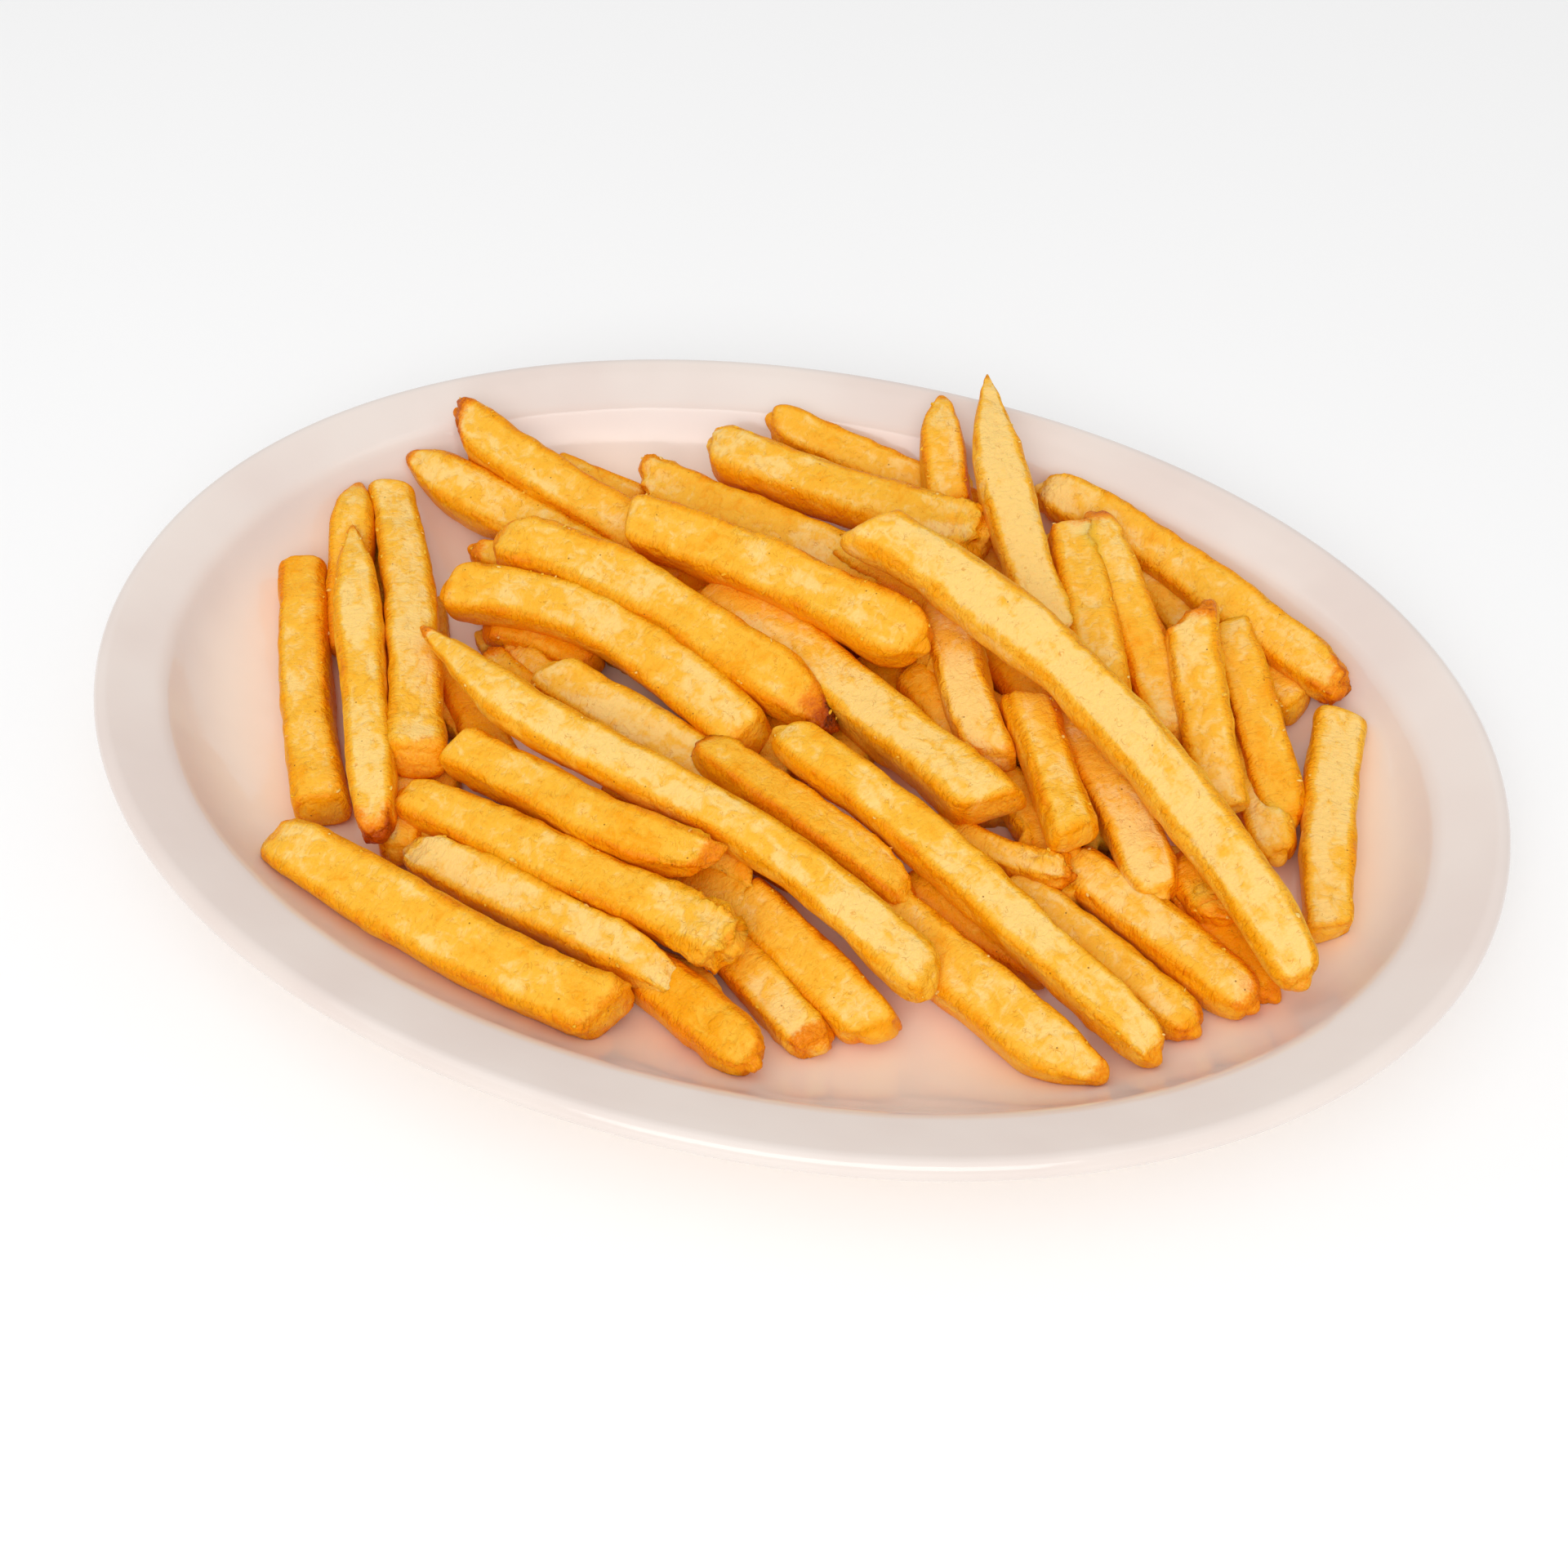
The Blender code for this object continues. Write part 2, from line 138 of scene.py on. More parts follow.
BACK = [
    Fry((-66.5, 52, 16), (-46, 51, 11), 8, "cut cut", tone=0.4),
    Fry((-24, 74.5, 21.5), (22, 68, 13), 8.5, "round cut", slant=(25, 0), tone=0.5, browned=(0.2, 0)),
    Fry((-45, 53, 18), (10, 40.5, 15), 9.5, "stub cut", slant=(28, 0), tone=0.5, browned=(0.35, 0),
        rough=(0.6, 0)),
    Fry((0, 46, 18), (27, 35, 16), 8, "stub cut", tone=0.62, browned=(0.4, 0.1), rough=(0.9, 0)),
    Fry((8.5, 85, 26), (18, 59, 20), 9, "bullet cut", tone=0.5, browned=(0.25, 0)),
    Fry((-34, 63.5, 21), (27, 51, 23), 10.5, "round stub", bow=-1, slant=(28, 0), tone=0.45,
        browned=(0.25, 0), rough=(0.2, 0.95)),
]
RIGHT_END = [
    Fry((35, 72, 19.5), (99.5, 36, 17.5), 9, "round blunt", bow=2.5, sway=-0.5, tone=0.42,
        browned=(0.1, 0.6), rough=(0.4, 0.5)),
    Fry((78, 48, 13), (93, 33, 13), 7, "cut cut", tone=0.3),
    Fry((57, 60, 14), (73, 45, 12), 9, "cut cut", tone=0.45),
    Fry((101, 31.5, 14.5), (104.5, -17, 12), 8, "cut cut", bow=-1.5, tone=0.22, browned=(0.1, 0.15),
        slant=(0, -20)),
    Fry((79, 31, 13), (94, -2, 11), 8.5, "cut round", tone=0.4),
    Fry((76.5, 45, 20), (94.5, 5, 13), 8, "blunt round", tone=0.5),
    Fry((46, 61, 25), (72.5, 14.5, 17), 9, "round cut", tone=0.42, browned=(0.6, 0.15),
        slant=(18, 0), rough=(0, 0.3)),
    Fry((43.5, 57.5, 23), (58, 16, 21), 9, "cut cut", tone=0.42, browned=(0.4, 0), creases=(0.5,)),
    Fry((69.5, 38, 26), (83.5, 1, 17), 8.5, "cut cut", bow=-1, tone=0.4, browned=(0.5, 0),
        slant=(38, 0), rough=(0.4, 0)),
    Fry((19.5, 88.5, 34), (46.5, 30, 20), 9, "taper cut", bow=-3, tone=0.16, browned=(0.25, 0)),
]
FRONT_RIGHT = [
    Fry((77, -12, 10), (97, -31, 11), 7, "cut round", tone=0.55, browned=(0, 0.3)),
    Fry((58, -14, 11), (93.5, -35, 12.5), 9, "cut round", tone=0.4, browned=(0, 0.4)),
    Fry((49, -21, 11), (84.5, -42, 11), 8, "cut round", tone=0.35, browned=(0, 0.5), rough=(0, 0.3)),
    Fry((26, -33, 11), (70.5, -58.5, 13), 10, "cut point", wide=1.05, tone=0.42,
        lean=((0, 0), (0.5, 0)), browned=(0, 0.3)),
    Fry((4, -38, 11), (34.5, -58, 11), 9.5, "cut stub", tone=0.5, slant=(0, 18), browned=(0, 0.15)),
    Fry((1, -45.5, 10), (25.5, -62.5, 10), 7, "cut stub", tone=0.4, browned=(0, 0.4), rough=(0, 0.4)),
    Fry((-8, -57, 11), (17, -71, 14.5), 9, "cut round", bow=0.5, tone=0.7, browned=(0, 0.35),
        rough=(0, 0.4)),
]
FRONT_SHEAF = [
    Fry((-15, -35, 10), (9.5, -40.5, 12), 7, "cut stub", tone=0.35, browned=(0, 0.25), rough=(0, 0.5)),
    Fry((-57, -38.5, 10), (-22, -47, 11), 6, "cut cut", tone=0.5, rough=(0.4, 0)),
    Fry((-78, -51.5, 15.5), (-8, -69.5, 15), 10, "blunt cut", bow=-2, tone=0.5, browned=(0.25, 0.25),
        slant=(10, 28), rough=(0.1, 0.25)),
    Fry((-54.5, -45.5, 12), (2, -60.5, 17), 8, "stub chisel", bow=-0.5, tone=0.28,
        browned=(0.15, 0.3), rough=(0.5, 0.5), slant=(0, -30)),
    Fry((-60, -36, 14), (7.5, -53, 19), 8.5, "round stub", bow=0.5, tone=0.5, browned=(0, 0.2),
        rough=(0.1, 1.0)),
    Fry((-53.5, -25, 17), (-0.5, -39, 22), 9, "cut chisel", bow=-2, sway=-0.5, tone=0.54,
        browned=(0.1, 0.4), rough=(0, 0.5), slant=(0, 20)),
]
BETWEEN = [
    Fry((-63.5, 9.5, 12), (-40, 6, 11), 6, "cut cut", bow=2, tone=0.55, browned=(0.4, 0)),
    Fry((-58.5, 8.5, 10), (-35, -8, 10), 6.5, "point cut", tone=0.45, browned=(0.8, 0), rough=(0.7, 0)),
    Fry((-62, 2.5, 10), (-40, -9, 10), 6, "cut cut", tone=0.5, browned=(0.6, 0), rough=(0.5, 0)),
    Fry((11, 23, 11), (33, 6, 11), 7, "cut cut", tone=0.5, browned=(0.3, 0)),
    Fry((21, 19, 14), (40, 0, 13), 7.5, "cut cut", tone=0.45),
    Fry((31, 36, 13), (49, 16, 13), 8.5, "cut cut", tone=0.4),
    Fry((42, 2, 11), (59, -17, 12), 7.5, "cut cut", tone=0.45, browned=(0, 0.2)),
    Fry((-14, 9, 11), (9, -4, 10), 8, "cut cut", tone=0.55),
    Fry((-73.5, 28, 13), (-23, 14, 11), 6, "round cut", bow=2, tone=0.45, browned=(0.5, 0)),
    Fry((34, -13, 13), (59, -19.5, 16), 5.5, "cut stub", bow=-2, tone=0.5, browned=(0.1, 0.6),
        rough=(0.3, 0.8)),
    Fry((77, -9.5, 14), (84, -20, 14), 6.5, "cut cut", tone=0.5, browned=(0.35, 0.3), rough=(0.4, 0.4)),
    Fry((81.5, -16, 15.5), (85.5, -21.5, 14.5), 4.5, "stub cut", tone=0.3, browned=(0.3, 0.2),
        rough=(0.1, 0.2), slant=(0, 30)),
]
CROSSING = [
    Fry((-95.5, 44.5, 17), (-38, 28, 12), 10, "point cut", bow=1, tone=0.42, browned=(0.5, 0),
        lean=((0.4, 0), (0, 0))),
    Fry((-87, 54, 23), (-28, 31, 13), 10, "round cut", bow=1, sway=1, tone=0.5, browned=(0.65, 0),
        rough=(0.3, 0), slant=(42, 0)),
    Fry((-46, -1.5, 16), (-6, -15, 12), 9.5, "stub cut", tone=0.32, slant=(-15, 0)),
    Fry((51, 19, 17), (75.5, -19.5, 15), 9, "cut round", tone=0.15, browned=(0, 0.15)),
    Fry((44, 13.5, 20), (58.5, -15, 20), 8.5, "cut cut", tone=0.4, slant=(-12, -12),
        browned=(0.1, 0.1)),
    Fry((23.5, 32.5, 22), (40.5, 0, 17), 9, "cut stub", bow=-1, tone=0.1, browned=(0, 0.2),
        slant=(0, 20)),
    Fry((-22, 27, 17), (43.5, -13, 20), 10.5, "stub cut", bow=1, tone=0.3, slant=(0, 22),
        browned=(0.1, 0.2)),
    Fry((-71, 10.5, 18), (-3.5, -7.5, 16), 9.5, "stub cut", bow=8, sway=-1, arch=1, tone=0.42,
        browned=(0.2, 0.2)),
    Fry((-65, 23.5, 21), (10.5, 1, 20), 10, "round point", bow=3, sway=-1.5, arch=1, tone=0.5,
        browned=(0.3, 1.0), rough=(0.2, 0.4)),
    Fry((-12, -11.5, 17), (33, -32.5, 17), 8, "round blunt", tone=0.6, browned=(0.6, 0.25),
        rough=(0, 0.4), skin=True, roll=-12),
]
ON_TOP = [
    Fry((-40, 33, 25), (23, 15.5, 26), 10.5, "stub round", bow=2, tone=0.48, browned=(0.15, 0.1),
        slant=(12, 0)),
    Fry((2.5, -8, 22), (80, -50, 15), 8, "round blunt", bow=1, sway=-0.5, arch=1, tone=0.38,
        browned=(0.1, 0.25)),
    Fry((-69, -5.5, 23), (41, -49.5, 17), 8, "taper stub", bow=1, sway=2.5, arch=2, tone=0.32,
        browned=(0.45, 0.1), rough=(0, 0.3), lean=((0.3, 0), (0, 0)), slant=(0, -28)),
    Fry((7, 34.5, 35), (100.5, -32, 19), 9.5, "cut blunt", bow=8, sway=-0.5, arch=2, tone=0.25,
        browned=(0.15, 0.25), slant=(-20, 0), lean=((0, 0), (-0.25, 0))),
]
LAID = {
    "fries_left_end": LEFT_END,
    "fries_back": BACK,
    "fries_right_end": RIGHT_END,
    "fries_front_right": FRONT_RIGHT,
    "fries_front_sheaf": FRONT_SHEAF,
    "fries_between": BETWEEN,
    "fries_crossing": CROSSING,
    "fries_on_top": ON_TOP,
}

# Fries that lie under the others and hold them up.
UNDER_LEVELS = (9.6, 10.2, 15.5, 21.0)      # heights of their middle lines
UNDER_TRIES = 260                           # places tried on each level
UNDER_HEADING = -34                         # degrees, and how far they stray from it
UNDER_STRAY = 26
UNDER_OVAL = (96, 46, -12)                  # half length, half breadth, turn in degrees
UNDER_THICK = (6.4, 8.2)
UNDER_LENGTH = (24, 60)
UNDER_TOUCH = 0.93                          # how near two may lie, as a share of touching
UNDER_SHADE = 2.5                           # a fry this near its outline covers a point
UNDER_COVERED = 0.7                         # the share of a fry that others must cover

# The core fills the gaps between neighbours. All but the last are shares of a fry's thickness.
CORE_DROP = 0.5                             # how far it stays under the fries' middle lines
CORE_REACH = 0.92                           # how far from a fry it may stand
CORE_TONE = 0.7
CORE_SQUARE = 1.1                           # mm

CRUMBS = 320                                # small bits of crust, most of them along the arrises
CRUMB_RADIUS = (0.18, 0.42)                  # mm


# ---- small helpers ----------------------------------------------------------------

def smooth(low, high, value):
    """0 below low, 1 above high, and an even curve between."""
    share = np.clip((value - low) / (high - low), 0, 1)
    return share * share * (3 - 2 * share)


def lumps(points, size, seed):
    """Smooth uneven relief from -1 to 1, with lumps of about that size."""
    table = np.random.default_rng(seed).uniform(-1, 1, (32, 32, 32))
    place = points / size + 512.37
    cell = np.floor(place).astype(int)
    part = place - cell
    part = part * part * (3 - 2 * part)
    total = np.zeros(len(points))
    for corner in itertools.product((0, 1), repeat=3):
        weight = np.prod(np.where(corner, part, 1 - part), axis=1)
        index = (cell + corner) % 32
        total += weight * table[index[:, 0], index[:, 1], index[:, 2]]
    return total


def mesh_points(mesh):
    points = np.empty(len(mesh.vertices) * 3)
    mesh.vertices.foreach_get("co", points)
    return points.reshape(-1, 3)


def mesh_normals(mesh):
    normals = np.empty(len(mesh.vertices) * 3, np.float32)
    mesh.vertex_normals.foreach_get("vector", normals)
    return normals.reshape(-1, 3)


def set_points(mesh, points):
    mesh.vertices.foreach_set("co", np.ascontiguousarray(points, np.float32).ravel())
    mesh.update()


def write_attribute(mesh, name, values):
    values = np.ascontiguousarray(values, np.float32)
    if values.ndim == 2:
        mesh.attributes.new(name, "FLOAT_VECTOR", "POINT").data.foreach_set("vector", values.ravel())
    else:
        mesh.attributes.new(name, "FLOAT", "POINT").data.foreach_set("value", values)


def start_piece(name):
    """Names the object that was just added, and opens it with nothing selected."""
    thing = bpy.context.object
    thing.name = name
    thing.data.name = name
    bpy.ops.object.transform_apply(location=True, rotation=True, scale=True)
    bpy.ops.object.mode_set(mode="EDIT")
    bpy.ops.mesh.select_all(action="DESELECT")
    bpy.ops.mesh.select_mode(type="EDGE")
    return thing


def select_edges(thing, wanted):
    """Selects the edges for which wanted(first end, second end) holds."""
    bpy.ops.mesh.select_all(action="DESELECT")
    bpy.ops.object.mode_set(mode="OBJECT")
    vertices = thing.data.vertices
    for edge in thing.data.edges:
        first, second = edge.vertices
        edge.select = wanted(vertices[first].co, vertices[second].co)
    bpy.ops.object.mode_set(mode="EDIT")


def join(things, name):
    """Makes one piece of several objects."""
    bpy.ops.object.select_all(action="DESELECT")
    for thing in things:
        thing.select_set(True)
    bpy.context.view_layer.objects.active = things[0]
    bpy.ops.object.join()
    whole = bpy.context.object
    whole.name = name
    whole.data.name = name
    return whole


# ---- the platter ------------------------------------------------------------------

def profile_rings():
    """Radius and height of the platter's rings, from its floor over the lip to the foot."""
    x = 0.0
    z = FLOOR_TOP
    heading = 0.0
    rings = [(x, z)]

    def straight(length, steps):
        nonlocal x, z
        for _ in range(steps):
            x += length / steps * math.cos(heading)
            z += length / steps * math.sin(heading)
            rings.append((x, z))

    def arc(radius, turn, steps):
        nonlocal x, z, heading
        step = math.radians(turn) / steps
        chord = 2 * radius * math.sin(abs(step) / 2)
        for _ in range(steps):
            heading += step / 2
            x += chord * math.cos(heading)
            z += chord * math.sin(heading)
            heading += step / 2
            rings.append((x, z))

    arc(WELL_RADIUS, WELL_SLOPE, 14)
    arc(SHOULDER_RADIUS, RIM_SLOPE - WELL_SLOPE, 6)
    straight(RIM_RUN, 3)
    arc(WALL_THICKNESS / 2, -180, 16)
    rim_cosine = math.cos(math.radians(RIM_SLOPE))
    well_cosine = math.cos(math.radians(WELL_SLOPE))
    corner_drop = UNDER_RIM_RADIUS * (rim_cosine - well_cosine)
    wall_drop = (WELL_RADIUS + WALL_THICKNESS) * (1 - well_cosine)
    rest_of_drop = z - FOOT_HEIGHT - corner_drop - wall_drop
    straight(rest_of_drop / math.sin(math.radians(RIM_SLOPE)), 3)
    arc(UNDER_RIM_RADIUS, WELL_SLOPE - RIM_SLOPE, 5)
    arc(WELL_RADIUS + WALL_THICKNESS, -WELL_SLOPE, 12)
    outside = rings[-1][0] - FOOT_HEIGHT / 2
    inside = outside - FOOT_WIDTH
    rings.append((outside + FOOT_ROUNDING * 0.3, FOOT_ROUNDING))
    rings.append((outside - FOOT_ROUNDING * 0.7, 0))
    rings.append((inside + FOOT_ROUNDING * 0.7, 0))
    rings.append((inside - FOOT_ROUNDING * 0.3, FOOT_ROUNDING))
    rings.append((inside - FOOT_HEIGHT / 2, FOOT_HEIGHT))
    shift = PLATTER_BREADTH / 2 - max(radius for radius, height in rings)
    return [(radius + shift, height) for radius, height in rings], shift


def stretch_to_oval(points, flat_radius):
    """Turns a round dish into an oval one whose rim keeps its width all round."""
    extra = (PLATTER_LENGTH - PLATTER_BREADTH) / 2 * MM
    radius = np.hypot(points[:, 0], points[:, 1])
    along = radius + extra * np.minimum(1, radius / (flat_radius * MM))
    cosine = points[:, 0] / radius
    sine = points[:, 1] / radius
    power = 2 / PLATTER_SQUARENESS
    points[:, 0] = np.sign(cosine) * np.abs(cosine) ** power * along
    points[:, 1] = np.sign(sine) * np.abs(sine) ** power * radius
    return points


def make_platter():
    rings, shift = profile_rings()
    first_radius, first_height = rings[0]
    bpy.ops.mesh.primitive_circle_add(
        vertices=PLATTER_STEPS, radius=first_radius * MM, location=(0, 0, first_height * MM))
    platter = start_piece("platter_glazed")
    bpy.ops.mesh.select_all(action="SELECT")
    for (radius, height), (wider, higher) in itertools.pairwise(rings):
        bpy.ops.mesh.extrude_edges_move(
            TRANSFORM_OT_translate={"value": (0, 0, (higher - height) * MM)})
        scale = wider / radius
        bpy.ops.transform.resize(value=(scale, scale, 1), center_override=(0, 0, 0))
    bpy.ops.mesh.edge_face_add()
    select_edges(platter, lambda a, b: min(a.z, b.z) > (FLOOR_TOP - 0.1) * MM
                 and max(math.hypot(*a.xy), math.hypot(*b.xy)) < (first_radius + 0.05) * MM)
    bpy.ops.mesh.edge_face_add()
    bpy.ops.mesh.select_all(action="SELECT")
    bpy.ops.mesh.normals_make_consistent(inside=False)
    bpy.ops.object.mode_set(mode="OBJECT")
    set_points(platter.data, stretch_to_oval(mesh_points(platter.data), shift))
    bpy.ops.object.shade_smooth_by_angle(angle=math.radians(40))
    return platter


def surface_under(platter):
    """A function that gives the platter's height, in mm, under points given in mm."""
    mesh = platter.data
    corners = [vertex.co.copy() for vertex in mesh.vertices]
    tree = BVHTree.FromPolygons(corners, [polygon.vertices[:] for polygon in mesh.polygons])

    def heights(points):
        found = np.zeros(len(points))
        for i, (x, y) in enumerate(points[:, :2] * MM):
            place = tree.ray_cast(Vector((x, y, 1)), Vector((0, 0, -1)))[0]
            found[i] = place.z / MM if place else -1
        return found

    return heights


# ---- shaping a fry ----------------------------------------------------------------

def make_blank(name, long):
    """A bar from -1 to 1 each way, cut into squares on all its faces."""
    bpy.ops.mesh.primitive_cube_add(size=2)
    blank = start_piece(name)
    cuts = [(0, SHORT_STEPS - 1), (1, SIDE_STEPS - 1), (2, SIDE_STEPS - 1)]
    if long:
        cuts.insert(1, (0, 1))
    for axis, number in cuts:
        others = [other for other in range(3) if other != axis]
        select_edges(blank, lambda a, b: all(abs(a[other] - b[other]) < 1e-4 for other in others))
        bpy.ops.mesh.subdivide(number_cuts=number)
    bpy.ops.mesh.select_all(action="SELECT")
    bpy.ops.mesh.normals_make_consistent(inside=False)
    bpy.ops.mesh.faces_shade_smooth()
    bpy.ops.object.mode_set(mode="OBJECT")
    return blank


def middle_line(fry, share):
    """Points of a fry's middle line at shares of its length, tail 0 to head 1."""
    tail = np.array(fry.tail, float)
    head = np.array(fry.head, float)
    run = head - tail
    left = np.array((-run[1], run[0], 0)) / math.hypot(run[0], run[1])
    share = np.asarray(share, float)[:, None]
    hump = 4 * share * (1 - share)
    wave = np.sin(2 * math.pi * share)
    aside = left * (fry.bow * hump - fry.sway * wave)
    return tail + run * share + aside + np.array((0, 0, fry.arch)) * hump


def front_turn(fry):
    """How far a fry's top face is turned to its right, to face the front of the heap."""
    tail = np.array(fry.tail, float)
    head = np.array(fry.head, float)
    run = head - tail
    right = np.array((run[1], -run[0])) / math.hypot(run[0], run[1])
    to_front = np.array(FRONT_POINT) - (tail + head) / 2
    return FRONT_TURN * math.degrees(math.atan2(right @ to_front[:2], to_front[2]))


def taper(end, distance):
    """What is left of width and depth at a distance from an end."""
    share = np.clip(distance / end.reach, 0, 1)
    full = (1 - (1 - share) ** end.fullness) ** (0.5 if end.fullness > 1.9 else 1)
    return end.wide + (1 - end.wide) * full, end.deep + (1 - end.deep) * full


def shape_fry(thing, fry, seed, under):
    """Turns a copy of a blank into one fry, in its place."""
    draw = np.random.default_rng(seed)
    mesh = thing.data
    blank = mesh_points(mesh)
    length = math.dist(fry.tail, fry.head)
    share = (blank[:, 0] + 1) / 2
    share = share - END_CROWDING * np.sin(2 * math.pi * share) / (2 * math.pi)
    from_ends = (share * length, (1 - share) * length)
    offset = draw.uniform(-400, 400, 3)

    # a square section with rounded corners
    side = np.sin(CORNER_CROWDING * blank[:, 1:]) / math.sin(CORNER_CROWDING)
    reach = np.maximum(np.abs(side).max(axis=1), 1e-6)
    squareness = draw.uniform(3.1, 5.0)
    edge_unit = np.abs(side / reach[:, None])
    side = side * ((edge_unit ** squareness).sum(axis=1) ** (-1 / squareness))[:, None]
    corner = edge_unit.min(axis=1)
    on_side = reach > 0.999

    # thickness: uneven along the fry, smaller towards the ends
    half = fry.thick / 2 * FULLNESS * np.array((fry.wide * FLATNESS, fry.deep / FLATNESS))
    along = np.column_stack((share * length, np.zeros(len(share)), np.zeros(len(share))))
    lopsided = draw.uniform(-0.05, 0.05, 2)
    width = half[0] * (1 + 0.08 * lumps(along + offset, 14, seed + 1) + lopsided[0] * (share - 0.5))
    depth = half[1] * (1 + 0.07 * lumps(along - offset, 14, seed + 2) + lopsided[1] * (share - 0.5))
    shape = np.column_stack((share * length, side[:, 0] * width, side[:, 1] * depth))
    wedge = draw.uniform(-0.10, 0.10, 2)
    shape[:, 1] *= 1 + wedge[0] * side[:, 1]
    shape[:, 2] *= 1 + wedge[1] * side[:, 0]

    end_names = fry.ends.split()
    for which in (0, 1):
        end = ENDS[end_names[which]]
        distance = from_ends[which]
        wide, deep = taper(end, distance)
        lean = np.array(fry.lean[which], float)
        if not lean.any() and end.reach > 10:
            lean = np.array((draw.uniform(-0.7, 0.7), draw.uniform(-0.8, 0.1)))
        shape[:, 1] = shape[:, 1] * wide + lean[0] * half[0] * (1 - wide)
        shape[:, 2] = shape[:, 2] * deep + lean[1] * half[1] * (1 - deep)
        # the end itself: domed a little, and skewed
        outwards = (-1, 1)[which]
        near = np.clip(1 - distance / SLANT_REACH, 0, 1) ** 2
        slant = fry.slant[which] + draw.uniform(-9, 9)
        rake = draw.uniform(-20, 12)
        shape[:, 0] += outwards * near * math.tan(math.radians(slant)) * shape[:, 1]
        shape[:, 0] += outwards * near * math.tan(math.radians(rake)) * shape[:, 2]
        dome = np.clip(1 - distance / 1.2, 0, 1) * (1 - np.minimum(1, reach) ** 2)
        shape[:, 0] += outwards * dome * min(1.6, 0.35 * end.reach)

    # relief, along the surface's own normals
    set_points(mesh, shape)
    normals = mesh_normals(mesh)
    place = shape + offset
    relief = 0.50 * lumps(place * (0.8, 1, 1), 9, seed + 3)
    relief += 0.26 * lumps(place, 3.6, seed + 4)
    relief += 0.12 * lumps(place, 1.9, seed + 5)
    arris = smooth(0.45, 1.0, corner) * on_side
    relief -= 0.40 * arris * smooth(0.0, 0.8, lumps(place * (0.8, 1, 1), 1.9, seed + 6))
    relief += draw.uniform(-0.22, 0.22) * (1 - corner ** 2) * on_side
    for _ in range(int(length / 9)):
        middle = shape[draw.integers(len(shape))]
        size = draw.uniform(0.9, 2.0)
        away = np.linalg.norm(shape - middle, axis=1)
        relief += draw.uniform(0.10, 0.24) * np.clip(1 - (away / size) ** 2, 0, 1)
    for at in fry.creases:
        wander = 1.6 * lumps(place * (0.2, 1, 1), 4, seed + 7)
        past = shape[:, 0] - at * length - wander
        relief += 0.30 * np.exp(-((past - 1.4) / 1.0) ** 2) - 0.3 * np.exp(-(past / 0.7) ** 2)
    rough = np.zeros(len(shape))
    for which in (0, 1):
        if fry.rough[which]:
            reach_of_rough = 6 + 9 * fry.rough[which]
            near = smooth(0, 1, 1 - from_ends[which] / reach_of_rough)
            rough += fry.rough[which] * near
    flakes = 1 - 2 * np.abs(lumps(place * (0.7, 1, 1), 3.0, seed + 8))
    folds = 1 - 2 * np.abs(lumps(place, 1.5, seed + 9))
    relief += rough * (1.2 * flakes + 0.75 * folds - 0.8)
    if fry.skin:
        ridge = np.exp(-((blank[:, 1] - 0.82) / 0.13) ** 2) * (blank[:, 2] > 0.9)
        relief += 0.35 * ridge * (1 + 0.5 * lumps(place, 1.2, seed + 10))
    shape = shape + normals * relief[:, None]

    # browning: from the ends inwards, more along the arrises, in patches
    browned = np.zeros(len(shape))
    for which in (0, 1):
        strength = fry.browned[which]
        if strength:
            reach_of_brown = 0.9 + 7 * strength
            patchy = 2.2 * lumps(place, 4, seed + 11) + 0.8 * lumps(place, 1.4, seed + 12)
            depth_in = (reach_of_brown - from_ends[which] + patchy + 1.6 * arris) / reach_of_brown
            browned = np.maximum(browned, strength * np.clip(depth_in, 0, 1) ** 1.6)
    browned += 0.10 * arris ** 2 * smooth(0.1, 0.8, lumps(place, 8, seed + 13))
    # browner in the valleys between the folds of a rough end
    browned += 0.16 * rough * smooth(0.2, 0.9, -folds)
    cut_edge = np.clip(1 - np.minimum(*from_ends) / 1.6, 0, 1) * smooth(0.75, 1.0, reach)
    arris = np.maximum(arris, 0.8 * cut_edge)
    write_attribute(mesh, "grain", place)
    write_attribute(mesh, "arris", arris)
    write_attribute(mesh, "browned", np.clip(browned, 0, 1))
    write_attribute(mesh, "rough", np.clip(rough, 0, 1))
    tone = fry.tone + 0.12 * lumps(along + offset, 22, seed + 14) - 0.2 * rough
    facing = np.arctan2(side[:, 0], side[:, 1]) - math.radians(fry.sunny)
    facing = np.abs((facing + math.pi) % (2 * math.pi) - math.pi)
    # sides turned away from the top are painted deeper: partly their own crust, partly painted shade
    tone += np.where(on_side, SIDE_TONE_AND_SHADE * smooth(0.55, 1.0, facing), 0.6 * SIDE_TONE_AND_SHADE)
    write_attribute(mesh, "tone", tone)

    # roll and twist, then bend along the middle line
    turn = fry.roll + front_turn(fry) + draw.uniform(-4, 4)
    turn = turn + (fry.twist + draw.uniform(-5, 5)) * (share - 0.5)
    turn = np.radians(turn)
    across = shape[:, 1] * np.cos(turn) - shape[:, 2] * np.sin(turn)
    upwards = shape[:, 1] * np.sin(turn) + shape[:, 2] * np.cos(turn)
    across += 0.45 * lumps(along + offset, 24, seed + 15)
    station = shape[:, 0] / length
    here = middle_line(fry, station)
    ahead = middle_line(fry, station + 0.01) - middle_line(fry, station - 0.01)
    ahead /= np.linalg.norm(ahead, axis=1)[:, None]
    left = np.cross((0, 0, 1), ahead)
    left /= np.linalg.norm(left, axis=1)[:, None]
    up = np.cross(ahead, left)
    points = here + left * across[:, None] + up * upwards[:, None]

    # resting on the platter, and under the top of the heap
    floor = under(points) + REST_GAP
    points[:, 2] = np.maximum(points[:, 2], floor)
    points[:, 2] = np.minimum(points[:, 2], HEAP_TOP - 0.03)
    set_points(mesh, points * MM)


